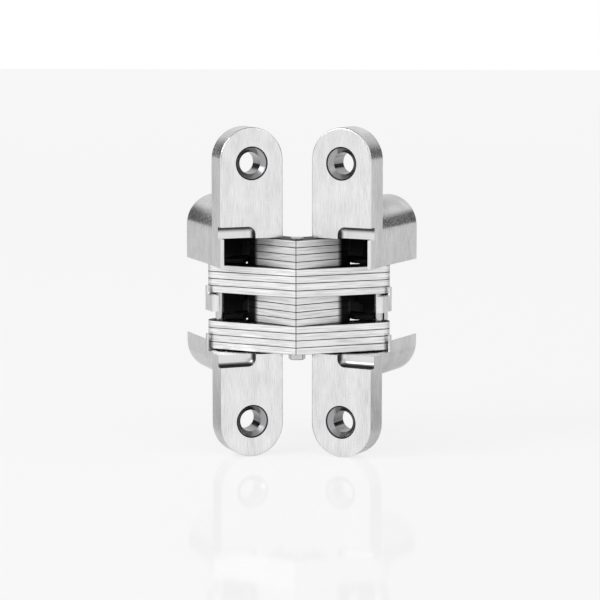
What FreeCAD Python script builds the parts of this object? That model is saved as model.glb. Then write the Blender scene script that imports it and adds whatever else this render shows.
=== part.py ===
import FreeCAD, Part
import math
import os
import Sketcher

# Concealed invisible door hinge, shown part folded.
# Two cast leaves with deep cups carry a stack of sixteen stamped link plates.
# Frame: X runs across the hinge from leaf to leaf, -Y faces the viewer, +Z runs along the pins.
# The origin is the middle of the hinge's box in this pose.

os.makedirs("parts", exist_ok=True)
doc = FreeCAD.newDocument("ConcealedHinge")

# Driving dimensions, millimetres and degrees
sheet = doc.addObject("Spreadsheet::Sheet", "Sizes")
driving = [
    # leaf plate and its screws
    ("leaf_width", 19.0),
    ("leaf_length", 95.0),
    ("leaf_thickness", 7.5),
    ("edge_round", 0.4),
    ("screw_spacing", 74.5),
    ("screw_bore", 6.3),
    ("countersink_diameter", 9.5),
    # cup behind the leaf
    ("cup_inset", 0.4),
    ("cup_height", 52.6),
    ("cup_depth", 32.0),
    ("back_wall", 2.5),
    ("web_width", 8.7),
    ("rim_width", 1.0),
    ("low_wall_height", 2.95),
    ("low_wall_start", 13.1),
    ("tongue_start", 8.5),
    ("tongue_end", 14.4),
    ("tongue_height", 4.6),
    ("tongue_rise", 2.4),
    ("lower_tongue_rise", 1.85),
    ("guard_width", 1.4),
    ("shelf_height", 1.1),
    ("shelf_inner", 5.0),
    ("shelf_play", 0.3),
    ("rib_width", 1.2),
    ("rib_start", 15.0),
    ("back_round", 1.5),
    # pose and pivots, in the frame of a leaf: across the face from the inner edge, and deep
    ("fold_angle", 25.0),
    ("half_gap", 4.1),
    ("pivot_across", 3.22),
    ("pivot_deep", 9.98),
    ("centre_back", -1.6),
    ("ridge_front", 4.8),
    # link plates
    ("plate_thickness", 2.0),
    ("plate_gap", 0.06),
    ("stack_drop", 1.0),
    ("wide_angle", 24.0),
    ("guide_reach", 23.1),
    ("wide_end_radius", 3.35),
    ("narrow_angle", 38.0),
    ("narrow_shoulder", 11.9),
    ("shoulder_radius", 1.0),
    ("narrow_eye_radius", 3.7),
    ("hub_radius", 3.5),
    ("crotch_radius", 5.0),
    ("scallop_radius", 2.5),
    # pins
    ("pivot_pin_diameter", 2.5),
    ("guide_pin_diameter", 2.5),
    ("centre_pin_diameter", 3.0),
    ("rivet_head_diameter", 4.9),
    ("rivet_head_height", 1.8),
    ("top_head_diameter", 3.8),
    ("top_head_height", 0.5),
    ("pin_chamfer", 0.3),
    ("pin_in_cheek", 3.0),
    ("guide_in_cheek", 2.5),
    # fits and clearances
    ("running_fit", 0.05),
    ("track_play", 0.25),
    ("row_play", 0.35),
    ("sweep_play", 0.12),
    ("guard_play", 0.35),
    ("end_play", 0.3),
    # scooped lips over and under the window
    ("lip_height", 3.4),
    ("lip_length", 10.6),
    ("lip_depth", 2.3),
    ("lip_corner", 2.3),
    ("lip_cove", 2.1),
    # turn of each leaf from this pose
    ("turn_to_open", 25.0),
    ("turn_to_closed", 65.0),
]
size = {}
for row, (alias, value) in enumerate(driving, start=1):
    sheet.set("A%d" % row, alias)
    sheet.set("B%d" % row, str(value))
    sheet.setAlias("B%d" % row, alias)
    size[alias] = value
doc.recompute()

PLATES_PER_ROW = 4
ROWS = 4
PLATE_COUNT = PLATES_PER_ROW * ROWS
fold = math.radians(size["fold_angle"])


# Derived places
def from_leaf(across, deep):
    """A point of the right leaf's own frame, moved to the hinge's X and Y before centring."""
    x = size["half_gap"] + across * math.cos(fold) + deep * math.sin(fold)
    y = -across * math.sin(fold) + deep * math.cos(fold)
    return x, y


def to_leaf(x, y):
    """The same point seen from the right leaf: across its face, and deep."""
    dx = x - size["half_gap"]
    return dx * math.cos(fold) - y * math.sin(fold), dx * math.sin(fold) + y * math.cos(fold)


front_y = from_leaf(size["leaf_width"] - size["edge_round"], size["edge_round"])[1] - size["edge_round"]
back_corner = (size["cup_inset"] + size["back_round"], size["cup_depth"] - size["back_round"])
back_y = from_leaf(*back_corner)[1] + size["back_round"]
shift_y = -(front_y + back_y) / 2.0

centre = (0.0, size["centre_back"])
ridge = (0.0, size["centre_back"] - size["ridge_front"])
pivot = from_leaf(size["pivot_across"], size["pivot_deep"])
slope = math.radians(size["wide_angle"])
guide_x = size["guide_reach"]
guide_rise = (size["wide_end_radius"] + guide_x * math.sin(slope)) / math.cos(slope)
guide = (guide_x, ridge[1] + guide_rise)

pitch = size["plate_thickness"] + size["plate_gap"]
stack_height = PLATE_COUNT * pitch - size["plate_gap"]
stack_top = stack_height / 2.0 - size["stack_drop"]
stack_bottom = stack_top - stack_height
cavity_top = stack_top + size["row_play"]
cavity_bottom = stack_bottom - size["row_play"]
row_height = PLATES_PER_ROW * pitch
notch_top = stack_top - row_height + size["row_play"]
cup_half_width = size["leaf_width"] / 2.0 - size["cup_inset"]
cavity_wall = size["leaf_width"] - size["rim_width"]


# Sketch and feature helpers
def origin_plane(body, role):
    """One of a body's own origin planes."""
    for feature in body.Origin.OriginFeatures:
        if feature.Role == role:
            return feature
    raise ValueError(role)


def new_sketch(body, name, role, offset):
    """A sketch on an origin plane, moved along that plane's normal."""
    sketch = body.newObject("Sketcher::SketchObject", name)
    sketch.AttachmentSupport = [(origin_plane(body, role), "")]
    sketch.MapMode = "FlatFace"
    sketch.AttachmentOffset = FreeCAD.Placement(FreeCAD.Vector(0, 0, offset), FreeCAD.Rotation())
    return sketch


def line(sketch, start, end):
    """A straight edge between two plane points."""
    p = FreeCAD.Vector(start[0], start[1], 0)
    q = FreeCAD.Vector(end[0], end[1], 0)
    return sketch.addGeometry(Part.LineSegment(p, q), False)


def arc_through(sketch, start, middle, end):
    """A round edge through three plane points."""
    points = [FreeCAD.Vector(x, y, 0) for x, y in (start, middle, end)]
    return sketch.addGeometry(Part.Arc(*points), False)


def on_circle(middle, radius, angle):
    """The point of a circle at an angle."""
    return middle[0] + radius * math.cos(angle), middle[1] + radius * math.sin(angle)


def rectangle(sketch, low, high):
    """A closed rectangle between two corners."""
    corners = [low, (high[0], low[1]), high, (low[0], high[1])]
    for i, corner in enumerate(corners):
        line(sketch, corner, corners[(i + 1) % 4])


def disc(sketch, middle, diameter, radius_rule):
    """A circle at a fixed middle, its radius tied to the sheet."""
    normal = FreeCAD.Vector(0, 0, 1)
    place = FreeCAD.Vector(middle[0], middle[1], 0)
    index = sketch.addGeometry(Part.Circle(place, normal, diameter / 2.0), False)
    number = sketch.addConstraint(Sketcher.Constraint("Radius", index, diameter / 2.0))
    sketch.setExpression("Constraints[%d]" % number, radius_rule)


def stadium(sketch, middle_x, half_width, half_length):
    """An upright outline with full round ends."""
    high = half_length - half_width
    left = middle_x - half_width
    right = middle_x + half_width
    line(sketch, (right, -high), (right, high))
    arc_through(sketch, (right, high), (middle_x, half_length), (left, high))
    line(sketch, (left, high), (left, -high))
    arc_through(sketch, (left, -high), (middle_x, -half_length), (right, -high))


def slab(body, kind, name, sketch, rule):
    """A pad or pocket of the sketch, half to each side, its length tied to the sheet."""
    doc.recompute()
    before = body.Shape.Volume if body.Tip else 0.0
    feature = body.newObject(kind, name)
    feature.Profile = sketch
    feature.Midplane = True
    feature.setExpression("Length", rule)
    sketch.Visibility = False
    doc.recompute()
    if abs(body.Shape.Volume - before) < 1e-3:
        raise ValueError(name + " changed nothing")
    return feature


def dressed(body, kind, name, base, edges, rule):
    """A fillet or chamfer on chosen edges of a body's last feature."""
    feature = body.newObject(kind, name)
    feature.Base = (base, edges)
    if kind.endswith("Fillet"):
        feature.setExpression("Radius", rule)
    else:
        feature.setExpression("Size", rule)
    doc.recompute()
    return feature


def edges_where(feature, test):
    """Names of the edges whose middle passes the test."""
    names = []
    for number, edge in enumerate(feature.Shape.Edges, start=1):
        middle = edge.valueAt((edge.FirstParameter + edge.LastParameter) / 2.0)
        if test(edge, middle):
            names.append("Edge%d" % number)
    return names


# Path of a guide pin in a leaf: an arc about the leaf's pivot pin
def track(sketch, flip):
    """A curved slot of even width along the guide pin's path, with round ends."""
    hub = (size["pivot_across"], size["pivot_deep"])
    pin = to_leaf(*guide)
    radius = math.hypot(pin[0] - hub[0], pin[1] - hub[1])
    rest = math.atan2(pin[1] - hub[1], pin[0] - hub[0])
    half = size["guide_pin_diameter"] / 2.0 + size["track_play"]
    first = rest - math.radians(size["turn_to_open"])
    last = rest + math.radians(size["turn_to_closed"])
    middle = (first + last) / 2.0
    ends = [on_circle(hub, radius, first), on_circle(hub, radius, last)]
    outer = [on_circle(hub, radius + half, angle) for angle in (first, middle, last)]
    inner = [on_circle(hub, radius - half, angle) for angle in (first, middle, last)]
    first_tip = on_circle(ends[0], half, first - math.pi / 2)
    last_tip = on_circle(ends[1], half, last + math.pi / 2)
    runs = [outer, [outer[2], last_tip, inner[2]], inner[::-1], [inner[0], first_tip, outer[0]]]
    for run in runs:
        arc_through(sketch, *[(flip * x, y) for x, y in run])


# Leaf: face plate and cup cast in one piece
def leaf(name, flip):
    """The body of a leaf: flip +1 for the right one, -1 for its mirror image on the left."""
    body = doc.addObject("PartDesign::Body", name)
    middle_x = flip * size["leaf_width"] / 2.0

    # face plate with full round ends
    sketch = new_sketch(body, name + "_plate_sketch", "XZ_Plane", 0)
    sketch.setExpression("AttachmentOffset.Base.z", "-Sizes.leaf_thickness / 2")
    stadium(sketch, middle_x, size["leaf_width"] / 2.0, size["leaf_length"] / 2.0)
    plate = slab(body, "PartDesign::Pad", name + "_plate", sketch, "Sizes.leaf_thickness")
    rim = edges_where(plate, lambda edge, middle: abs(middle.y) < 1e-6)
    dressed(body, "PartDesign::Fillet", name + "_rim", plate, rim, "Sizes.edge_round")

    # cup, round ended like the plate
    sketch = new_sketch(body, name + "_cup_sketch", "XZ_Plane", 0)
    sketch.setExpression("AttachmentOffset.Base.z", "-(Sizes.edge_round + Sizes.cup_depth) / 2")
    stadium(sketch, middle_x, cup_half_width, size["cup_height"] / 2.0)
    cup = slab(body, "PartDesign::Pad", name + "_cup", sketch, "Sizes.cup_depth - Sizes.edge_round")
    back = edges_where(cup, lambda edge, middle: abs(middle.y - size["cup_depth"]) < 1e-6)
    dressed(body, "PartDesign::Fillet", name + "_cup_back", cup, back, "Sizes.back_round")

    # cavity for the links, open to the face and to the inner side
    sketch = new_sketch(body, name + "_cavity_sketch", "XZ_Plane", 0)
    sketch.setExpression("AttachmentOffset.Base.z", "-(Sizes.cup_depth - Sizes.back_wall) / 2")
    inner_side = (-flip * size["leaf_width"], cavity_bottom)
    rectangle(sketch, inner_side, (flip * cavity_wall, cavity_top))
    slab(body, "PartDesign::Pocket", name + "_cavity", sketch, "Sizes.cup_depth - Sizes.back_wall")

    # openings for the wide links: out through the back, and out through the side, where a low
    # wall stays standing along the bottom and short tongues of wall stay behind the face
    def cut(part, low, high, start, end):
        """A block cut away between two depths."""
        shape = new_sketch(body, "%s_%s_sketch" % (name, part), "XZ_Plane", -(start + end) / 2.0)
        rectangle(shape, (flip * low[0], low[1]), (flip * high[0], high[1]))
        slab(body, "PartDesign::Pocket", "%s_%s" % (name, part), shape, "%.6f" % (end - start))

    beyond = 2 * size["leaf_width"]
    behind = size["cup_depth"] + size["back_wall"]
    outside = cavity_wall - size["rim_width"]
    wall_top = cavity_bottom + size["low_wall_height"]
    front = size["low_wall_start"]
    rear = size["tongue_end"]
    third_top = stack_top - 2 * row_height - size["row_play"]
    third_bottom = stack_top - 3 * row_height + size["row_play"]
    tongue_low = wall_top + size["lower_tongue_rise"]
    tongue_top = third_top + size["tongue_rise"]
    tongue_bottom = third_top - size["tongue_height"]
    cut("back_opening", (size["web_width"], cavity_bottom), (cavity_wall, notch_top), 0.0, behind)
    cut("side_opening", (outside, wall_top), (beyond, notch_top), rear, behind)
    cut("tongue_gap", (outside, tongue_low), (beyond, tongue_bottom), size["tongue_start"] - 0.1, rear + 0.1)
    cut("front_opening", (outside, cavity_bottom), (beyond, notch_top), -1.0, size["tongue_start"])
    cut("upper_exit", (outside, third_top), (beyond, notch_top), size["tongue_start"] - 0.1, front)
    cut("upper_clearance", (outside, tongue_top), (beyond, notch_top), front - 0.1, rear + 0.1)
    cut("lower_exit", (outside, cavity_bottom), (beyond, third_bottom), size["tongue_start"] - 0.1, front)

    # room for the round ends of the wide links as they swing about the pivot pin
    hub = (size["pivot_across"], size["pivot_deep"])
    pin_place = to_leaf(*guide)
    swing = math.hypot(pin_place[0] - hub[0], pin_place[1] - hub[1])
    reach = swing + size["wide_end_radius"] + size["sweep_play"]
    for part, low_z, high_z in (("upper_sweep", third_top, notch_top),
                                ("lower_sweep", cavity_bottom, third_bottom)):
        shape = new_sketch(body, "%s_%s_sketch" % (name, part), "XY_Plane", (low_z + high_z) / 2.0)
        disc(shape, (flip * hub[0], hub[1]), 2 * reach, "%.6f" % reach)
        slab(body, "PartDesign::Pocket", "%s_%s" % (name, part), shape, "%.6f" % (high_z - low_z))

    # curved guard behind the guide pin's path, which carries the upper tongue on the web
    guard_low = swing + size["guide_pin_diameter"] / 2.0 + size["guard_play"]
    guard_high = guard_low + size["guard_width"]
    first = math.asin((size["tongue_start"] - hub[1]) / guard_low)
    last = math.pi / 2
    middle = (first + last) / 2.0
    outer_first = math.asin((size["tongue_start"] - hub[1]) / guard_high)
    shape = new_sketch(body, name + "_guard_sketch", "XY_Plane", (third_top + tongue_bottom) / 2.0)
    inner = [on_circle(hub, guard_low, angle) for angle in (first, middle, last)]
    outer = [on_circle(hub, guard_high, angle) for angle in (last, middle, outer_first)]
    inner = [(flip * x, y) for x, y in inner]
    outer = [(flip * x, y) for x, y in outer]
    arc_through(shape, *inner)
    line(shape, inner[2], outer[0])
    arc_through(shape, *outer)
    line(shape, outer[2], inner[0])
    slab(body, "PartDesign::Pad", name + "_guard", shape, "%.6f" % (third_top - tongue_bottom))
    back_face = size["cup_depth"] - size["back_wall"] + size["edge_round"]
    guard_back = hub[1] + guard_low + 0.1
    shape = new_sketch(body, name + "_stay_sketch", "XZ_Plane", -(guard_back + back_face) / 2.0)
    rectangle(shape, (flip * hub[0], tongue_bottom), (flip * (size["web_width"] - 1.0), third_top))
    slab(body, "PartDesign::Pad", name + "_stay", shape, "%.6f" % (back_face - guard_back))

    # ribs that close the inner side behind the narrow links' rows
    rib_end = size["cup_depth"] - size["back_wall"] + size["edge_round"]
    ribs = new_sketch(body, name + "_ribs_sketch", "XZ_Plane", -(size["rib_start"] + rib_end) / 2.0)
    inner = flip * size["cup_inset"]
    outer = flip * (size["cup_inset"] + size["rib_width"])
    rectangle(ribs, (inner, notch_top), (outer, cavity_top + size["row_play"]))
    rectangle(ribs, (inner, third_bottom), (outer, third_top))
    slab(body, "PartDesign::Pad", name + "_ribs", ribs, "%.6f" % (rib_end - size["rib_start"]))

    # curved shelves on the ribs, between the pivot pin and the guide pin's path, over the wide rows
    shelf_outer = swing - size["guide_pin_diameter"] / 2.0 - size["shelf_play"]
    start = math.radians(18.0)
    end = math.radians(104.0)
    middle = (start + end) / 2.0
    for part, floor_z in (("upper_shelf", notch_top), ("lower_shelf", third_bottom)):
        level = floor_z + size["shelf_height"] / 2.0
        shape = new_sketch(body, "%s_%s_sketch" % (name, part), "XY_Plane", level)
        inner = [on_circle(hub, size["shelf_inner"], angle) for angle in (start, middle, end)]
        outer = [on_circle(hub, shelf_outer, angle) for angle in (end, middle, start)]
        inner = [(flip * x, y) for x, y in inner]
        outer = [(flip * x, y) for x, y in outer]
        arc_through(shape, *inner)
        line(shape, inner[2], outer[0])
        arc_through(shape, *outer)
        line(shape, outer[2], inner[0])
        slab(body, "PartDesign::Pad", "%s_%s" % (name, part), shape, "Sizes.shelf_height")

    # scooped lips over and under the window, towards the outer edge
    sketch = new_sketch(body, name + "_lips_sketch", "XZ_Plane", 0)
    sketch.setExpression("AttachmentOffset.Base.z", "-Sizes.lip_depth / 2")
    inner_end = size["leaf_width"] - size["lip_length"]
    corner = size["lip_corner"]
    for edge_z, up in ((cavity_top, 1.0), (cavity_bottom, -1.0)):
        far_z = edge_z + up * size["lip_height"]
        near_z = edge_z
        hub = (inner_end + corner, far_z - up * corner)
        bend = on_circle(hub, corner, up * 3 * math.pi / 4)
        points = [(inner_end, near_z), (inner_end, hub[1]), bend, (hub[0], far_z),
                  (beyond, far_z), (beyond, near_z)]
        points = [(flip * x, z) for x, z in points]
        line(sketch, points[0], points[1])
        arc_through(sketch, points[1], points[2], points[3])
        line(sketch, points[3], points[4])
        line(sketch, points[4], points[5])
        line(sketch, points[5], points[0])
    lips = slab(body, "PartDesign::Pocket", name + "_lips", sketch, "Sizes.lip_depth")
    low_z = cavity_bottom - size["lip_height"]
    high_z = cavity_top + size["lip_height"]
    coved = edges_where(lips, lambda edge, middle: abs(middle.y - size["lip_depth"]) < 1e-6
                        and low_z - 0.01 < middle.z < high_z + 0.01
                        and not cavity_bottom + 0.01 < middle.z < cavity_top - 0.01
                        and abs(middle.z - cavity_bottom) > 1e-4
                        and abs(middle.z - cavity_top) > 1e-4
                        and abs(middle.x) < size["leaf_width"] - 1e-4)
    dressed(body, "PartDesign::Fillet", name + "_lip_coves", lips, coved, "Sizes.lip_cove")

    # pivot pin bores and guide pin tracks, sunk in the two cheeks of the cup
    window_middle = (cavity_top + cavity_bottom) / 2.0
    window_height = cavity_top - cavity_bottom
    sketch = new_sketch(body, name + "_pivot_sketch", "XY_Plane", window_middle)
    disc(sketch, (flip * size["pivot_across"], size["pivot_deep"]), size["pivot_pin_diameter"],
         "Sizes.pivot_pin_diameter / 2")
    rule = "%.6f + 2 * (Sizes.pin_in_cheek + Sizes.end_play)" % window_height
    slab(body, "PartDesign::Pocket", name + "_pivot_bores", sketch, rule)
    sketch = new_sketch(body, name + "_track_sketch", "XY_Plane", window_middle)
    track(sketch, flip)
    rule = "%.6f + 2 * (Sizes.guide_in_cheek + Sizes.end_play)" % window_height
    slab(body, "PartDesign::Pocket", name + "_tracks", sketch, rule)

    # countersunk screw holes
    sketch = new_sketch(body, name + "_screw_sketch", "XZ_Plane", 0)
    for end in (1.0, -1.0):
        disc(sketch, (middle_x, end * size["screw_spacing"] / 2.0), size["screw_bore"],
             "Sizes.screw_bore / 2")
    holes = slab(body, "PartDesign::Pocket", name + "_screw_holes", sketch, "4 * Sizes.leaf_thickness")
    mouths = edges_where(holes, lambda edge, middle: abs(middle.y) < 1e-6
                         and hasattr(edge.Curve, "Radius")
                         and abs(edge.Curve.Radius - size["screw_bore"] / 2.0) < 1e-4)
    dressed(body, "PartDesign::Chamfer", name + "_countersinks", holes, mouths,
            "(Sizes.countersink_diameter - Sizes.screw_bore) / 2")

    place = FreeCAD.Vector(flip * size["half_gap"], shift_y, 0)
    turn = FreeCAD.Rotation(FreeCAD.Vector(0, 0, 1), -flip * size["fold_angle"])
    body.Placement = FreeCAD.Placement(place, turn)
    body.Label = name
    return body


leaf_right = leaf("leaf_right", 1)
leaf_left = leaf("leaf_left", -1)


# Link plate outline: a V with a sharp front corner, round ends and a round crotch at the back
def plate_back(end, end_radius):
    """The back of one arm: the angle of its normal, the crotch's two points and the end's touch."""
    arm = (end[0] - centre[0], end[1] - centre[1])
    spread = math.acos((size["hub_radius"] - end_radius) / math.hypot(*arm))
    back = math.atan2(arm[1], arm[0]) + spread
    rise = back - math.pi / 2
    crotch = size["crotch_radius"]
    valley = centre[1] + size["hub_radius"] / math.cos(rise)
    crotch_x = crotch * math.sin(rise)
    touch = (crotch_x, valley + crotch_x * math.tan(rise))
    low = (0.0, valley + crotch / math.cos(rise) - crotch)
    return back, touch, low, on_circle(end, end_radius, back)


def wide_outline(sketch):
    """Straight front edges that run into the round ends at the guide pins."""
    radius = size["wide_end_radius"]
    back, touch, low, end_back = plate_back(guide, radius)
    end_front = on_circle(guide, radius, slope - math.pi / 2)
    tip = on_circle(guide, radius, (slope - math.pi / 2 + back) / 2)
    for flip in (1.0, -1.0):
        points = [(flip * x, y) for x, y in (end_front, tip, end_back, touch)]
        line(sketch, ridge, points[0])
        arc_through(sketch, points[0], points[1], points[2])
        line(sketch, points[2], points[3])
    arc_through(sketch, touch, low, (-touch[0], touch[1]))


def narrow_outline(sketch):
    """Steeper front edges, a rounded shoulder, then in to the eye round the pivot pin."""
    radius = size["narrow_eye_radius"]
    back, touch, low, end_back = plate_back(pivot, radius)
    steep = math.radians(size["narrow_angle"])
    shoulder_x = size["narrow_shoulder"]
    shoulder = (shoulder_x, ridge[1] + shoulder_x * math.tan(steep))
    reach = (pivot[0] - shoulder[0], pivot[1] - shoulder[1])
    length = math.hypot(*reach)
    side = math.atan2(reach[1], reach[0]) - math.asin(radius / length)
    end_front = on_circle(shoulder, math.sqrt(length ** 2 - radius ** 2), side)
    tip = on_circle(pivot, radius, (side - math.pi / 2 + back) / 2)
    half_bend = (side - steep) / 2
    cut = size["shoulder_radius"] * math.tan(half_bend)
    before = on_circle(shoulder, cut, steep + math.pi)
    after = on_circle(shoulder, cut, side)
    hub = on_circle(before, size["shoulder_radius"], steep + math.pi / 2)
    bend = on_circle(hub, size["shoulder_radius"], steep + half_bend - math.pi / 2)
    for flip in (1.0, -1.0):
        path = (before, bend, after, end_front, tip, end_back, touch)
        points = [(flip * x, y) for x, y in path]
        line(sketch, ridge, points[0])
        arc_through(sketch, points[0], points[1], points[2])
        line(sketch, points[2], points[3])
        arc_through(sketch, points[3], points[4], points[5])
        line(sketch, points[5], points[6])
    arc_through(sketch, touch, low, (-touch[0], touch[1]))


def pin_hole(body, name, middle, rule_pin):
    """A round hole with a running fit, at one place or mirrored at two."""
    sketch = new_sketch(body, name + "_sketch", "XY_Plane", 0)
    places = [middle] if middle[0] == 0 else [middle, (-middle[0], middle[1])]
    for place in places:
        disc(sketch, place, size[rule_pin], "Sizes.%s / 2 + Sizes.running_fit" % rule_pin)
    return slab(body, "PartDesign::Pocket", name, sketch, "4 * Sizes.plate_thickness")


def link_plate(name, narrow, height):
    """One stamped plate, its middle plane at the given height."""
    body = doc.addObject("PartDesign::Body", name)
    sketch = new_sketch(body, name + "_outline", "XY_Plane", 0)
    if narrow:
        narrow_outline(sketch)
    else:
        wide_outline(sketch)
    slab(body, "PartDesign::Pad", name + "_blank", sketch, "Sizes.plate_thickness")
    if not narrow:
        sketch = new_sketch(body, name + "_scallop_sketch", "XY_Plane", 0)
        for flip in (1.0, -1.0):
            disc(sketch, (flip * pivot[0], pivot[1]), 2 * size["scallop_radius"],
                 "Sizes.scallop_radius")
        slab(body, "PartDesign::Pocket", name + "_scallops", sketch, "4 * Sizes.plate_thickness")
    pin_hole(body, name + "_centre_hole", centre, "centre_pin_diameter")
    if narrow:
        pin_hole(body, name + "_end_holes", pivot, "pivot_pin_diameter")
    else:
        pin_hole(body, name + "_end_holes", guide, "guide_pin_diameter")
    body.Placement = FreeCAD.Placement(FreeCAD.Vector(0, shift_y, height), FreeCAD.Rotation())
    body.Label = name
    return body


links = []
counts = {"narrow": 0, "wide": 0}
for number in range(PLATE_COUNT):
    kind = "narrow" if (number // PLATES_PER_ROW) % 2 == 0 else "wide"
    counts[kind] += 1
    name = "%s_link_%d" % (kind, counts[kind])
    height = stack_top - size["plate_thickness"] / 2.0 - number * pitch
    plate = link_plate(name, kind == "narrow", height)
    links.append(plate)


# Pins: plain turned rods with broken edges
def pin(name, diameter_rule, low, high, place):
    """A rod from one height to another, its ends chamfered."""
    rod = doc.addObject("Part::Cylinder", name + "_rod")
    rod.setExpression("Radius", "Sizes.%s / 2" % diameter_rule)
    rod.Height = high - low
    rod.Placement = FreeCAD.Placement(FreeCAD.Vector(place[0], place[1] + shift_y, low),
                                      FreeCAD.Rotation())
    doc.recompute()
    result = doc.addObject("Part::Chamfer", name)
    result.Base = rod
    rims = [n for n, edge in enumerate(rod.Shape.Edges, start=1) if edge.Closed]
    result.Edges = [(n, size["pin_chamfer"], size["pin_chamfer"]) for n in rims]
    result.Label = name
    return result


pins = []
for side_name, flip in (("left", -1.0), ("right", 1.0)):
    pivot_place = (flip * pivot[0], pivot[1])
    guide_place = (flip * guide[0], guide[1])
    pins.append(pin("pivot_pin_" + side_name, "pivot_pin_diameter",
                    cavity_bottom - size["pin_in_cheek"], cavity_top + size["pin_in_cheek"],
                    pivot_place))
    pins.append(pin("guide_pin_" + side_name, "guide_pin_diameter",
                    cavity_bottom - size["guide_in_cheek"], cavity_top + size["guide_in_cheek"],
                    guide_place))

# centre pin: a rivet with a head under the stack and a smaller one formed over it
def rod(name, radius_rule, low, high, place):
    """A plain cylinder from one height to another."""
    item = doc.addObject("Part::Cylinder", name)
    item.setExpression("Radius", radius_rule)
    item.Height = high - low
    spot = FreeCAD.Vector(place[0], place[1] + shift_y, low)
    item.Placement = FreeCAD.Placement(spot, FreeCAD.Rotation())
    return item


under = stack_bottom - size["plate_gap"]
over = stack_top + size["plate_gap"]
lowest = under - size["rivet_head_height"]
highest = over + size["top_head_height"]
shank = rod("centre_pin_shank", "Sizes.centre_pin_diameter / 2", lowest, highest, centre)
lower_head = rod("centre_pin_lower_head", "Sizes.rivet_head_diameter / 2", lowest, under, centre)
upper_head = rod("centre_pin_upper_head", "Sizes.top_head_diameter / 2", over, highest, centre)
whole = doc.addObject("Part::MultiFuse", "centre_pin_whole")
whole.Shapes = [shank, lower_head, upper_head]
whole.Refine = True
doc.recompute()
centre_pin = doc.addObject("Part::Chamfer", "centre_pin")
centre_pin.Base = whole
rounds = []
for number, edge in enumerate(whole.Shape.Edges, start=1):
    height = edge.CenterOfMass.z
    if edge.Closed and min(abs(height - lowest), abs(height - highest)) < 1e-6:
        rounds.append((number, size["pin_chamfer"], size["pin_chamfer"]))
centre_pin.Edges = rounds
centre_pin.Label = "centre_pin"
pins.append(centre_pin)

# Check every object, then write each piece
doc.recompute()
for item in doc.Objects:
    if "Invalid" in item.State or "Error" in item.State:
        raise ValueError("failed object " + item.Name)
pieces = [leaf_left, leaf_right] + links + pins
for piece in pieces:
    shape = piece.Shape
    if shape.isNull() or not shape.isValid() or len(shape.Solids) != 1:
        raise ValueError("bad shape " + piece.Label)
    shape.exportStep("parts/%s.step" % piece.Label)
print("pivot", pivot, "guide", guide, "centre", centre, "shift", shift_y)
print("pieces", len(pieces), "stack", stack_bottom, stack_top)
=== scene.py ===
import math

import bmesh
import bpy
from mathutils import Matrix, Vector


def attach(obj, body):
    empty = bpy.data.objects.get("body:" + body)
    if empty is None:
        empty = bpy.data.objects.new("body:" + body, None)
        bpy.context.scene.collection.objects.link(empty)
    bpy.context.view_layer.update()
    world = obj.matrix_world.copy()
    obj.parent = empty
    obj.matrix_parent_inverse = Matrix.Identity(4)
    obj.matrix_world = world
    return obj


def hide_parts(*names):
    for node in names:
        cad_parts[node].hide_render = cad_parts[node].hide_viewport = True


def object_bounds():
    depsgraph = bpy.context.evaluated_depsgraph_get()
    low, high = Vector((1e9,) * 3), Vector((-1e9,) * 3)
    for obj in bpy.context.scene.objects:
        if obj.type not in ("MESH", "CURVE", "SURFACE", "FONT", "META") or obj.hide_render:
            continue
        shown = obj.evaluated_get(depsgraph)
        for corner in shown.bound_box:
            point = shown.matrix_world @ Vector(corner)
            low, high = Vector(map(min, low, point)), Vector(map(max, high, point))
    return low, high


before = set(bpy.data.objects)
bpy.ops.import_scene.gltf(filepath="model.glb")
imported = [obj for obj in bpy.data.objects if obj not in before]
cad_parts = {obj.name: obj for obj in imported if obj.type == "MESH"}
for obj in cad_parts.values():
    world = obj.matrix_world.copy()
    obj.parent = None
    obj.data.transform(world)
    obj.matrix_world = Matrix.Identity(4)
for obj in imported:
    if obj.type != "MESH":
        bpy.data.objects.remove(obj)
cad_low, cad_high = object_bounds()

# Photo studio: a gloss white board that the hinge stands on, white air with dark flags in it so
# that the metal has something to reflect, two soft lamps in front, the left one the stronger, and
# a camera a little right of the middle that looks slightly down.
BOARD_WHITE = "#F6F6F6"
LIGHT_WHITE = "#FFFFFF"
board_half = 3.0
board_gap = 0.00005
board_rough, board_gloss = 0.06, 0.6
# the board's own light as metal sees it, by metres back, and as the camera sees it
board_near = {"From Min": -0.022, "From Max": -0.008, "To Min": 0.92, "To Max": 0.06}
board_far = {"From Min": 0.03, "From Max": 0.12, "To Min": 0.0, "To Max": 0.46}
board_to_camera = 0.74
scene = bpy.context.scene
scene.view_settings.view_transform = "Standard"


def linear(code):
    """An sRGB hex colour as linear RGBA."""
    parts = [int(code[i:i + 2], 16) / 255.0 for i in (1, 3, 5)]
    bent = [c / 12.92 if c <= 0.04045 else ((c + 0.055) / 1.055) ** 2.4 for c in parts]
    return (*bent, 1.0)


def add_node(tree, kind, inputs=None, **settings):
    """One node with its settings; each input takes a value, a socket or a node's first result."""
    node = tree.nodes.new(kind)
    for name, value in settings.items():
        setattr(node, name, value)
    for name, value in (inputs or {}).items():
        if isinstance(value, bpy.types.Node):
            value = next(socket for socket in value.outputs if socket.enabled)
        if isinstance(value, bpy.types.NodeSocket):
            tree.links.new(value, node.inputs[name])
        else:
            node.inputs[name].default_value = value
    return node


def new_material(name):
    """An empty node material and its tree."""
    material = bpy.data.materials.new(name)
    material.use_nodes = True
    material.node_tree.nodes.clear()
    return material, material.node_tree


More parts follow.
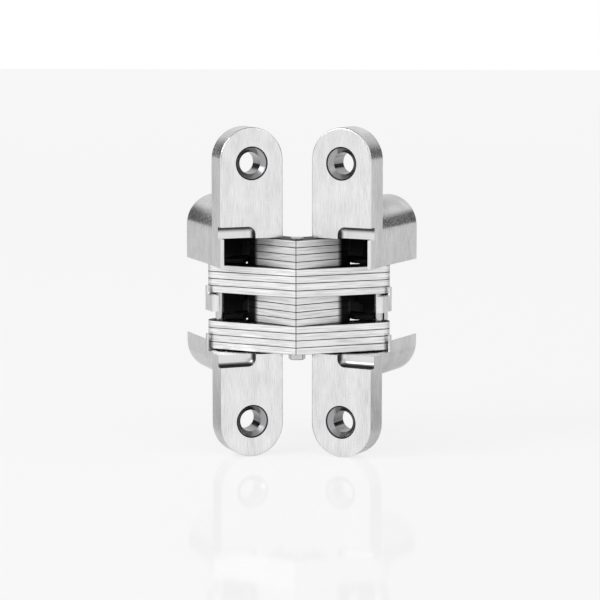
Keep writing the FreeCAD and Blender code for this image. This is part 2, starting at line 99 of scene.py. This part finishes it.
def board_finish():
    """Gloss white acrylic: a plain pale floor that mirrors the hinge faintly."""
    material, tree = new_material("gloss_white_board")
    rays = add_node(tree, "ShaderNodeLightPath")
    place = add_node(tree, "ShaderNodeTexCoord").outputs["Object"]
    axes = add_node(tree, "ShaderNodeSeparateXYZ", {0: place})
    # metal sees it bright in front, with a painted shadow under and close behind the hinge, grey beyond
    near, far = (add_node(tree, "ShaderNodeMapRange", {"Value": axes.outputs["Y"], **change},
                          interpolation_type="SMOOTHSTEP") for change in (board_near, board_far))
    level = add_node(tree, "ShaderNodeMath", {0: near, 1: far}, operation="ADD")
    to_metal = add_node(tree, "ShaderNodeMath", {0: rays.outputs["Is Glossy Ray"], 1: level},
                        operation="MULTIPLY")
    lit_share = add_node(tree, "ShaderNodeMath", {
        0: rays.outputs["Is Camera Ray"], 1: board_to_camera, 2: to_metal}, operation="MULTIPLY_ADD")
    sheet = add_node(tree, "ShaderNodeBsdfPrincipled", {
        "Base Color": linear(BOARD_WHITE), "Roughness": board_rough, "Specular IOR Level": board_gloss})
    backlight = add_node(tree, "ShaderNodeEmission", {
        "Color": linear(LIGHT_WHITE), "Strength": 1.0})
    surface = add_node(tree, "ShaderNodeMixShader", {"Fac": lit_share, 1: sheet, 2: backlight})
    add_node(tree, "ShaderNodeOutputMaterial", {"Surface": surface})
    return material


board_corners = [(x * board_half, y * board_half, cad_low.z - board_gap)
                 for x, y in ((-1, -1), (1, -1), (1, 1), (-1, 1))]
board_mesh = bpy.data.meshes.new("studio_board")
board_mesh.from_pydata(board_corners, [], [(0, 1, 2, 3)])
board_mesh.materials.append(board_finish())
board = bpy.data.objects.new("studio_board", board_mesh)
scene.collection.objects.link(board)

world = bpy.data.worlds.new("studio_air")
scene.world = world
world.use_nodes = True
tree = world.node_tree
tree.nodes.clear()
rays = add_node(tree, "ShaderNodeLightPath")
where = add_node(tree, "ShaderNodeTexCoord").outputs["Generated"]
split = add_node(tree, "ShaderNodeSeparateXYZ", {0: where})
direction = {"sideways": add_node(tree, "ShaderNodeMath", {0: split.outputs["X"]}, operation="ABSOLUTE"),
             "back": split.outputs["Y"], "up": split.outputs["Z"]}
# the air by direction: which way, where a change starts and ends, the level before and after it
air_zones = {
    "dim_behind": ("back", -0.1, 0.45, 1.0, 0.75),
    "dim_above": ("up", 0.6, 0.9, 1.0, 0.6),
    "flag_inner": ("sideways", 0.4, 0.6, 0.0, 1.0),
    "flag_foot": ("up", -0.02, 0.04, 0.0, 1.0),
    "flag_head": ("up", 0.3, 0.4, 1.0, 0.0),
    "overhead": ("up", 0.52, 0.66, 0.0, 0.85),
    "back_half": ("back", 0.2, 0.45, 0.0, 1.0),
    "camera_width": ("sideways", 0.12, 0.34, 0.75, 0.0),
    "camera_end": ("back", -0.85, -0.6, 1.0, 0.0)}
zone = {}
for name, (way, start, end, before, after) in air_zones.items():
    zone[name] = add_node(tree, "ShaderNodeMapRange", {
        "Value": direction[way], "From Min": start, "From Max": end, "To Min": before,
        "To Max": after}, interpolation_type="SMOOTHSTEP")
# behind the hinge a dark flag stands on the horizon to the left and to the right and the air
# darkens overhead, and round the camera it is dark as well
flag_height = add_node(tree, "ShaderNodeMath", {0: zone["flag_foot"], 1: zone["flag_head"]},
                       operation="MULTIPLY")
dark_behind = add_node(tree, "ShaderNodeMath", {
    0: flag_height, 1: zone["flag_inner"], 2: zone["overhead"]}, operation="MULTIPLY_ADD")
lit = add_node(tree, "ShaderNodeMath", {0: zone["dim_behind"], 1: zone["dim_above"]},
               operation="MULTIPLY")
for dark, reach in ((dark_behind, zone["back_half"]), (zone["camera_width"], zone["camera_end"])):
    shut = add_node(tree, "ShaderNodeMath", {0: dark, 1: reach}, operation="MULTIPLY")
    open_share = add_node(tree, "ShaderNodeMath", {0: 1.0, 1: shut}, operation="SUBTRACT")
    lit = add_node(tree, "ShaderNodeMath", {0: lit, 1: open_share}, operation="MULTIPLY")
bright = add_node(tree, "ShaderNodeMath", {0: rays.outputs["Is Camera Ray"], 1: lit},
                  operation="MAXIMUM")
air = add_node(tree, "ShaderNodeBackground", {"Color": linear(LIGHT_WHITE), "Strength": bright})
add_node(tree, "ShaderNodeOutputWorld", {"Surface": air})

lamp_width = 0.40
for name, spot, watts in (("softbox_left", (-0.60, -0.40, 0.45), 2.2),
                          ("softbox_right", (0.60, -0.45, 0.45), 0.3)):
    lamp = bpy.data.lights.new(name, "AREA")
    lamp.shape = "SQUARE"
    lamp.size = lamp_width
    lamp.energy = watts
    lamp_object = bpy.data.objects.new(name, lamp)
    scene.collection.objects.link(lamp_object)
    lamp_object.location = spot
    lamp_object.rotation_mode = "QUATERNION"
    lamp_object.rotation_quaternion = (-Vector(spot)).to_track_quat("-Z", "Y")

camera_turn, camera_tilt = math.radians(3.4), math.radians(7.6)
camera_target = Vector((0.00017, 0.0, -0.00372))
camera_distance = 0.701
towards_camera = Vector((math.sin(camera_turn) * math.cos(camera_tilt),
                         -math.cos(camera_turn) * math.cos(camera_tilt), math.sin(camera_tilt)))
camera_data = bpy.data.cameras.new("studio_camera")
camera_data.sensor_width = 36.0
camera_data.lens = 144.0
camera_data.clip_start = 0.01
camera_data.clip_end = 20.0
camera = bpy.data.objects.new("studio_camera", camera_data)
scene.collection.objects.link(camera)
scene.camera = camera
camera.location = camera_target + towards_camera * camera_distance
camera.rotation_mode = "QUATERNION"
camera.rotation_quaternion = (-towards_camera).to_track_quat("-Z", "Y")


# Leaves: two zinc castings, each a round-ended face plate with a deep cup behind it, fixed by two
# countersunk screws. Faces and sides are brushed along their length and satin chrome plated; the
# countersinks and the scooped lips are cut and polished after, the cup's inside stays dull as cast
# and is painted near black as shade.
LEAF_LIGHT = "#F8F8F8"
LEAF_SHADE = "#CCCCCD"
LIP_BRIGHT = "#E6E6E7"
# painted shade for the lines along the lips' far edges and inner ends
LIP_PAINTED_SHADE = "#3A3A3C"
BORE_GREY = "#A6A6A8"
# painted shade: the dark line round each countersink's rim
RIM_PAINTED_SHADE = "#323234"
# painted shade: the near black of the cup's inside
CUP_PAINTED_SHADE = "#2B2B2D"
# a leaf is measured across from its inner front corner, which half_gap and corner_forward place,
# deep from its face and up from its middle, all in metres
fold = math.radians(25.0)
half_gap = 0.0041
corner_forward = 0.0102206
leaf_width = 0.019
leaf_thickness = 0.0075
leaf_edge_round = 0.00012
screw_height = 0.03725
countersink_radius = 0.00475
ring_inside, ring_outside = 0.0003, 0.00008
window_top, window_bottom = 0.0158, -0.0178
window_outer = 0.0180
lip_inner = 0.0084
lip_height = 0.0034
lip_depth = 0.0024
lip_margin = 0.0003
cup_front, cup_floor = 0.006, 0.0295
bore_outer = 0.017
bore_reach = 0.0034
guard_inner, guard_back = 0.0125, 0.0185
guard_bottom, guard_top = -0.0061, -0.0013
low_wall_top = -0.0128
mask_margin = 0.00003
# the lips' lines of painted shade, up or down from the window's edges and out from the lips' inner ends
far_line_start, far_line_full = 0.45 * lip_height, 0.9 * lip_height
inner_line_full, inner_line_end = 0.0003, 0.0012
# in millimetres: belt grit leaves scratches about 0.1 mm apart, drawn 0.2 mm apart and 4.5 mm
# long so that they show, over patches 4 mm wide and 11 mm long where the belt pressed unevenly
scratch_sizes = (0.2, 0.2, 4.5455)
patch_sizes = (3.8462, 3.8462, 11.111)
patch_share = 0.3
scratch_depth = 0.00003
scratch_strength, cut_strength = 0.22, 0.022
brushed_tones = {"From Min": 0.3, "From Max": 0.65}
brushed_rough = {"From Min": 0.3, "From Max": 0.7, "To Min": 0.18, "To Max": 0.3}
lip_rough, hole_rough, cast_rough = 0.3, 0.2, 0.6
brush_spread = 0.9


def streaks(tree, place, sizes, detail, roughness=0.5):
    """Noise drawn out into streaks or patches of the given millimetres along X, Y and Z."""
    cells = add_node(tree, "ShaderNodeMapping", {
        "Vector": place, "Scale": [1000 / size for size in sizes]})
    return add_node(tree, "ShaderNodeTexNoise", {
        "Vector": cells, "Scale": 1.0, "Detail": detail, "Roughness": roughness})


def rounded_copy(node, name, width):
    """A merged copy of a CAD node with small rounds along its edges, at the origin."""
    merge_distance = 2e-6
    flat_angle, edge_angle = math.radians(0.5), math.radians(32)
    mesh = node.data.copy()
    mesh.name = name
    shell = bmesh.new()
    shell.from_mesh(mesh)
    bmesh.ops.remove_doubles(shell, verts=shell.verts, dist=merge_distance)
    bmesh.ops.dissolve_limit(shell, angle_limit=flat_angle, verts=shell.verts, edges=shell.edges)
    bmesh.ops.recalc_face_normals(shell, faces=shell.faces)
    shell.to_mesh(mesh)
    shell.free()
    mesh.shade_smooth()
    mesh.set_sharp_from_angle(angle=edge_angle)
    piece = bpy.data.objects.new(name, mesh)
    scene.collection.objects.link(piece)
    bevel = piece.modifiers.new("edge_rounds", "BEVEL")
    bevel.width = width
    bevel.segments = 2
    bevel.limit_method = "ANGLE"
    bevel.angle_limit = edge_angle
    bevel.use_clamp_overlap = True
    shading = piece.modifiers.new("flat_faces", "WEIGHTED_NORMAL")
    shading.keep_sharp = True
    return piece


def finished(piece):
    """The piece with its modifiers worked into its mesh."""
    view = bpy.context.evaluated_depsgraph_get()
    mesh = bpy.data.meshes.new_from_object(piece.evaluated_get(view))
    piece.modifiers.clear()
    piece.data = mesh
    return piece


def leaf_finish(side, flip):
    """Satin chrome streaked by brushing; painted shade rims bright cuts and darkens the dull cast cup."""
    material, tree = new_material("brushed_satin_chrome_" + side)
    place = add_node(tree, "ShaderNodeTexCoord").outputs["Object"]
    corner = Matrix.Rotation(flip * fold, 3, "Z") @ Vector((flip * half_gap, -corner_forward, 0.0))
    own = add_node(tree, "ShaderNodeMapping", {
        "Vector": place, "Rotation": (0.0, 0.0, flip * fold), "Location": -corner})
    axes = add_node(tree, "ShaderNodeSeparateXYZ", {0: own})
    across = add_node(tree, "ShaderNodeMath", {0: axes.outputs["X"], 1: float(flip)}, operation="MULTIPLY")
    up = axes.outputs["Z"]
    level = add_node(tree, "ShaderNodeMath", {0: up}, operation="ABSOLUTE")
    over_screw = add_node(tree, "ShaderNodeMath", {0: level, 1: screw_height}, operation="SUBTRACT")
    beside_screw = add_node(tree, "ShaderNodeMath", {0: across, 1: leaf_width / 2}, operation="SUBTRACT")
    from_screw = add_node(tree, "ShaderNodeCombineXYZ", {0: beside_screw, 1: over_screw})
    radius = add_node(tree, "ShaderNodeVectorMath", {0: from_screw}, operation="LENGTH")
    measures = {"across": across, "deep": axes.outputs["Y"], "up": up,
                "radius": radius.outputs["Value"]}

    def region(**limits):
        """One where each measure is between its limits, of which either may be None."""
        result = 1.0
        for name, pair in limits.items():
            for operation, limit in zip(("GREATER_THAN", "LESS_THAN"), pair):
                if limit is not None:
                    test = add_node(tree, "ShaderNodeMath", {0: measures[name], 1: limit},
                                    operation=operation)
                    result = add_node(tree, "ShaderNodeMath", {0: result, 1: test},
                                      operation="MULTIPLY")
        return result

    hole = region(radius=(None, countersink_radius - mask_margin), deep=(mask_margin, leaf_thickness))
    # a dark line of painted shade round each countersink's rim
    rim_shade = region(radius=(countersink_radius - ring_inside, countersink_radius + ring_outside))
    lips = region(across=(lip_inner - lip_margin, None), deep=(mask_margin, lip_depth),
                  up=(window_bottom - lip_height - mask_margin, window_top + lip_height + mask_margin))
    cut = add_node(tree, "ShaderNodeMath", {0: hole, 1: lips}, operation="MAXIMUM")
    # the cup's room and the bores over and under it are dull as cast and painted dark as shade, but
    # not the guard behind the guide pin's path and the low wall that stand there, which are brushed,
    # nor the polished lips
    room = region(across=(None, window_outer + mask_margin), deep=(cup_front, cup_floor + mask_margin),
                  up=(window_bottom - mask_margin, window_top + mask_margin))
    bores = region(across=(None, bore_outer), deep=(cup_front, cup_floor),
                   up=(window_bottom - bore_reach, window_top + bore_reach))
    guard = region(across=(guard_inner, None), deep=(None, guard_back), up=(guard_bottom, guard_top))
    low_wall = region(across=(guard_inner, None), up=(None, low_wall_top))
    cast_and_shade = add_node(tree, "ShaderNodeMath", {0: room, 1: bores}, operation="MAXIMUM")
    for other in (guard, low_wall, lips):
        cast_and_shade = add_node(tree, "ShaderNodeMath", {0: cast_and_shade, 1: other}, operation="SUBTRACT",
                        use_clamp=True)
    # the scoops' far edges and inner ends get a dark line of painted shade
    from_middle = add_node(tree, "ShaderNodeMath", {0: up, 1: (window_top + window_bottom) / 2},
                           operation="SUBTRACT")
    off_middle = add_node(tree, "ShaderNodeMath", {0: from_middle}, operation="ABSOLUTE")
    half_window = (window_top - window_bottom) / 2
    far_edge = add_node(tree, "ShaderNodeMapRange", {
        "Value": off_middle, "From Min": half_window + far_line_start,
        "From Max": half_window + far_line_full}, interpolation_type="SMOOTHSTEP")
    inner_end = add_node(tree, "ShaderNodeMapRange", {
        "Value": across, "From Min": lip_inner + inner_line_full, "From Max": lip_inner + inner_line_end,
        "To Min": 1.0, "To Max": 0.0}, interpolation_type="SMOOTHSTEP")
    edges = add_node(tree, "ShaderNodeMath", {0: far_edge, 1: inner_end}, operation="MAXIMUM")
    lip_shade_line = add_node(tree, "ShaderNodeMath", {0: edges, 1: lips}, operation="MULTIPLY")

    scratches = streaks(tree, own, scratch_sizes, detail=3.0, roughness=0.6)
    patches = streaks(tree, own, patch_sizes, detail=2.0)
    streaked = add_node(tree, "ShaderNodeMix", {"Factor": patch_share, "A": scratches, "B": patches},
                        data_type="FLOAT")
    tone = add_node(tree, "ShaderNodeMapRange", {"Value": streaked, **brushed_tones})
    colour = add_node(tree, "ShaderNodeMix", {
        "Factor": tone, "A": linear(LEAF_SHADE), "B": linear(LEAF_LIGHT)}, data_type="RGBA")
    for share, shade in ((lips, LIP_BRIGHT), (hole, BORE_GREY), (cast_and_shade, CUP_PAINTED_SHADE), (rim_shade, RIM_PAINTED_SHADE),
                         (lip_shade_line, LIP_PAINTED_SHADE)):
        colour = add_node(tree, "ShaderNodeMix", {"Factor": share, "A": colour, "B": linear(shade)},
                          data_type="RGBA")
    rough = add_node(tree, "ShaderNodeMapRange", {"Value": scratches, **brushed_rough})
    for share, value in ((lips, lip_rough), (hole, hole_rough), (cast_and_shade, cast_rough)):
        rough = add_node(tree, "ShaderNodeMix", {"Factor": share, "A": rough, "B": value},
                         data_type="FLOAT")
    strength = add_node(tree, "ShaderNodeMix", {
        "Factor": cut, "A": scratch_strength, "B": cut_strength}, data_type="FLOAT")
    bump = add_node(tree, "ShaderNodeBump", {
        "Distance": scratch_depth, "Strength": strength, "Height": scratches})
    # the brushing spreads a reflection sideways and leaves it sharp up and down
    shader = add_node(tree, "ShaderNodeBsdfPrincipled", {
        "Metallic": 1.0, "Anisotropic": brush_spread, "Base Color": colour, "Roughness": rough,
        "Normal": bump})
    add_node(tree, "ShaderNodeOutputMaterial", {"Surface": shader})
    return material


# thin ledges carry the cup's two shelves on round each pivot pin, from 2 to 37 degrees back
pivot_across = 0.011236
pivot_back = -0.0025365
shelf_bottoms = (0.00756, -0.00892)
ledge_inner_radius = 0.0041
ledge_outer_radius = 0.006
ledge_thickness = 0.0006
ledge_start, ledge_step, ledge_steps = 2.0, 5.0, 7


def add_ledges(piece, flip):
    """The piece with its ledges, which keep light from showing through the cup."""
    shell = bmesh.new()
    shell.from_mesh(piece.data)
    added = []
    for bottom in shelf_bottoms:
        top = bottom + ledge_thickness
        section = ((ledge_inner_radius, bottom), (ledge_outer_radius, bottom),
                   (ledge_outer_radius, top), (ledge_inner_radius, top))
        stations = []
        for step in range(ledge_steps + 1):
            angle = math.radians(ledge_start + ledge_step * step)
            stations.append([shell.verts.new((flip * (pivot_across + r * math.cos(angle)),
                                              pivot_back + r * math.sin(angle), z))
                             for r, z in section])
        for near, far in zip(stations, stations[1:]):
            for i in range(len(section)):
                j = (i + 1) % len(section)
                added.append(shell.faces.new((near[i], far[i], far[j], near[j])))
        added.append(shell.faces.new(stations[0]))
        added.append(shell.faces.new(stations[-1]))
    bmesh.ops.recalc_face_normals(shell, faces=added)
    shell.to_mesh(piece.data)
    shell.free()
    return piece


for side, flip in (("left", -1), ("right", 1)):
    casting = rounded_copy(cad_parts["leaf_" + side], side + "_leaf_casting", leaf_edge_round)
    casting = finished(add_ledges(casting, flip))
    casting.data.materials.clear()
    casting.data.materials.append(leaf_finish(side, flip))
    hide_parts("leaf_" + side)
    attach(casting, side + "_leaf")


# Link plates: sixteen stamped steel plates in four rows, narrow and wide rows by turns, all
# threaded on the centre pin. Each is blanked, tumbled so that its edges lose their burr, and
# nickel plated; painted shade darkens the joints between them and the seam down their front ridge.
PLATE_LIGHT = "#F9F9F9"
PLATE_SHADE = "#CBCBCC"
# painted shade for the joints, the seam and the narrow plates' ends in the cups
PLATE_PAINTED_SHADE = "#1E1E20"
plates_per_row = 4
plate_pitch = 0.00206
plate_gap = 0.00006
plate_edge_round = 0.0001
stack_top = 0.01545
# in millimetres: grain along the plates' edges, finer on the real ones and drawn 0.3 mm apart and
# 8 mm long so that it shows
grain_sizes = (8.3333, 8.3333, 0.3125)
grain_depth = 0.00003
grain_strength = 0.2
plate_tones = {"From Min": 0.32, "From Max": 0.62}
plate_rough = {"From Min": 0.3, "From Max": 0.7, "To Min": 0.4, "To Max": 0.52}
# the joint's painted shade by pitches from a plate's middle, the seam's and the ends' by metres sideways
joint_line = {"From Min": 0.425, "From Max": 0.46}
seam_line = {"From Min": 0.00005, "From Max": 0.00016, "To Min": 1.0, "To Max": 0.0}
end_shade_span = {"From Min": 0.0112, "From Max": 0.0128}


def plate_finish():
    """Nickel plate: pale and softly glossy with faint streaks, cut by thin lines of painted shade."""
    material, tree = new_material("nickel_plated_stamping")
    place = add_node(tree, "ShaderNodeTexCoord").outputs["Object"]
    axes = add_node(tree, "ShaderNodeSeparateXYZ", {0: place})
    grain = streaks(tree, place, grain_sizes, detail=3.0, roughness=0.6)
    tone = add_node(tree, "ShaderNodeMapRange", {"Value": grain, **plate_tones})
    steel = add_node(tree, "ShaderNodeMix", {
        "Factor": tone, "A": linear(PLATE_SHADE), "B": linear(PLATE_LIGHT)}, data_type="RGBA")
    # plates down from the top of the stack, each counted from the middle of the gap over it
    fallen = add_node(tree, "ShaderNodeMath", {0: stack_top + plate_gap / 2, 1: axes.outputs["Z"]},
                      operation="SUBTRACT")
    count = add_node(tree, "ShaderNodeMath", {0: fallen, 1: plate_pitch}, operation="DIVIDE")
    phase = add_node(tree, "ShaderNodeMath", {0: count}, operation="FRACT")
    centred = add_node(tree, "ShaderNodeMath", {0: phase, 1: 0.5}, operation="SUBTRACT")
    off_centre = add_node(tree, "ShaderNodeMath", {0: centred}, operation="ABSOLUTE")
    # a line of painted shade along each joint between plates and down the seam at the ridge
    joint = add_node(tree, "ShaderNodeMapRange", {"Value": off_centre, **joint_line})
    off_ridge = add_node(tree, "ShaderNodeMath", {0: axes.outputs["X"]}, operation="ABSOLUTE")
    seam = add_node(tree, "ShaderNodeMapRange", {"Value": off_ridge, **seam_line})
    # the narrow plates' ends get painted shade where they run inside the cups
    row_pairs = add_node(tree, "ShaderNodeMath", {0: count, 1: 2 * plates_per_row}, operation="DIVIDE")
    in_pair = add_node(tree, "ShaderNodeMath", {0: row_pairs}, operation="FRACT")
    narrow = add_node(tree, "ShaderNodeMath", {0: in_pair, 1: 0.5}, operation="LESS_THAN")
    shaded_ends = add_node(tree, "ShaderNodeMapRange", {"Value": off_ridge, **end_shade_span},
                    interpolation_type="SMOOTHSTEP")
    dark = add_node(tree, "ShaderNodeMath", {0: narrow, 1: shaded_ends}, operation="MULTIPLY")
    for line in (joint, seam):
        dark = add_node(tree, "ShaderNodeMath", {0: dark, 1: line}, operation="MAXIMUM")
    colour = add_node(tree, "ShaderNodeMix", {"Factor": dark, "A": steel, "B": linear(PLATE_PAINTED_SHADE)},
                      data_type="RGBA")
    rough = add_node(tree, "ShaderNodeMapRange", {"Value": grain, **plate_rough})
    bump = add_node(tree, "ShaderNodeBump", {
        "Distance": grain_depth, "Strength": grain_strength, "Height": grain})
    shader = add_node(tree, "ShaderNodeBsdfPrincipled", {
        "Metallic": 1.0, "Base Color": colour, "Roughness": rough, "Normal": bump})
    add_node(tree, "ShaderNodeOutputMaterial", {"Surface": shader})
    return material


def stack_rows():
    """A node tree that repeats one plate down its rows, skipping the rows of the other kind."""
    tree = bpy.data.node_groups.new("plate_rows", "GeometryNodeTree")
    for title, kind in (("Plate", "NodeSocketGeometry"), ("Plates", "NodeSocketInt"),
                        ("Per Row", "NodeSocketInt"), ("Pitch", "NodeSocketFloat"),
                        ("Finish", "NodeSocketMaterial")):
        tree.interface.new_socket(title, in_out="INPUT", socket_type=kind)
    tree.interface.new_socket("Stack", in_out="OUTPUT", socket_type="NodeSocketGeometry")
    given = add_node(tree, "NodeGroupInput").outputs
    points = add_node(tree, "GeometryNodeMeshLine", {
        "Offset": (0.0, 0.0, 0.0), "Count": given["Plates"]})
    index = add_node(tree, "GeometryNodeInputIndex")
    rows = add_node(tree, "ShaderNodeMath", {0: index, 1: given["Per Row"]}, operation="DIVIDE")
    whole_rows = add_node(tree, "ShaderNodeMath", {0: rows}, operation="FLOOR")
    skipped = add_node(tree, "ShaderNodeMath", {0: whole_rows, 1: given["Per Row"], 2: index},
                       operation="MULTIPLY_ADD")
    drop = add_node(tree, "ShaderNodeMath", {0: skipped, 1: given["Pitch"]}, operation="MULTIPLY")
    down = add_node(tree, "ShaderNodeMath", {0: drop, 1: -1.0}, operation="MULTIPLY")
    place = add_node(tree, "ShaderNodeCombineXYZ", {"Z": down})
    spread = add_node(tree, "GeometryNodeSetPosition", {"Geometry": points, "Position": place})
    copies = add_node(tree, "GeometryNodeInstanceOnPoints", {
        "Points": spread, "Instance": given["Plate"]})
    real = add_node(tree, "GeometryNodeRealizeInstances", {"Geometry": copies})
    coat = add_node(tree, "GeometryNodeSetMaterial", {"Geometry": real, "Material": given["Finish"]})
    add_node(tree, "NodeGroupOutput", {"Stack": coat})
    return tree


rows_tree = stack_rows()
row_values = {"Plates": 2 * plates_per_row, "Per Row": plates_per_row, "Pitch": plate_pitch,
              "Finish": plate_finish()}
for kind in ("narrow", "wide"):
    piece = rounded_copy(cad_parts[kind + "_link_1"], kind + "_link_plates", plate_edge_round)
    repeat = piece.modifiers.new("rows", "NODES")
    repeat.node_group = rows_tree
    for item in rows_tree.interface.items_tree:
        if item.in_out == "INPUT" and item.name in row_values:
            repeat[item.identifier] = row_values[item.name]
    finished(piece)
    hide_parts(*["%s_link_%d" % (kind, number) for number in range(1, 2 * plates_per_row + 1)])
    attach(piece, "link_pack")


# Pins: turned steel. The centre pin is a rivet with a head at each end; the pivot pins are pressed
# into the cups and carry the narrow plates; the guide pins carry the wide plates' ends along curved
# tracks. All are polished, with the faint rings that a lathe leaves round them.
PIN_STEEL = "#CACACC"
# in millimetres: a lathe leaves rings about 0.1 mm apart, drawn 0.2 mm apart so that they show
ring_sizes = (25.0, 25.0, 0.2)
ring_depth = 0.00002
ring_strength = 0.15
pin_rough = {"From Min": 0.3, "From Max": 0.7, "To Min": 0.08, "To Max": 0.2}


def pin_finish():
    """Turned and polished steel: bright, sharp reflections that faint rings break up."""
    material, tree = new_material("turned_polished_steel")
    place = add_node(tree, "ShaderNodeTexCoord").outputs["Object"]
    rings = streaks(tree, place, ring_sizes, detail=2.0)
    rough = add_node(tree, "ShaderNodeMapRange", {"Value": rings, **pin_rough})
    bump = add_node(tree, "ShaderNodeBump", {
        "Distance": ring_depth, "Strength": ring_strength, "Height": rings})
    shader = add_node(tree, "ShaderNodeBsdfPrincipled", {
        "Metallic": 1.0, "Base Color": linear(PIN_STEEL), "Roughness": rough, "Normal": bump})
    add_node(tree, "ShaderNodeOutputMaterial", {"Surface": shader})
    return material


pin_metal = pin_finish()
for name in ("centre_pin", "pivot_pin_left", "pivot_pin_right", "guide_pin_left", "guide_pin_right"):
    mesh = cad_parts[name].data
    mesh.materials.clear()
    mesh.materials.append(pin_metal)
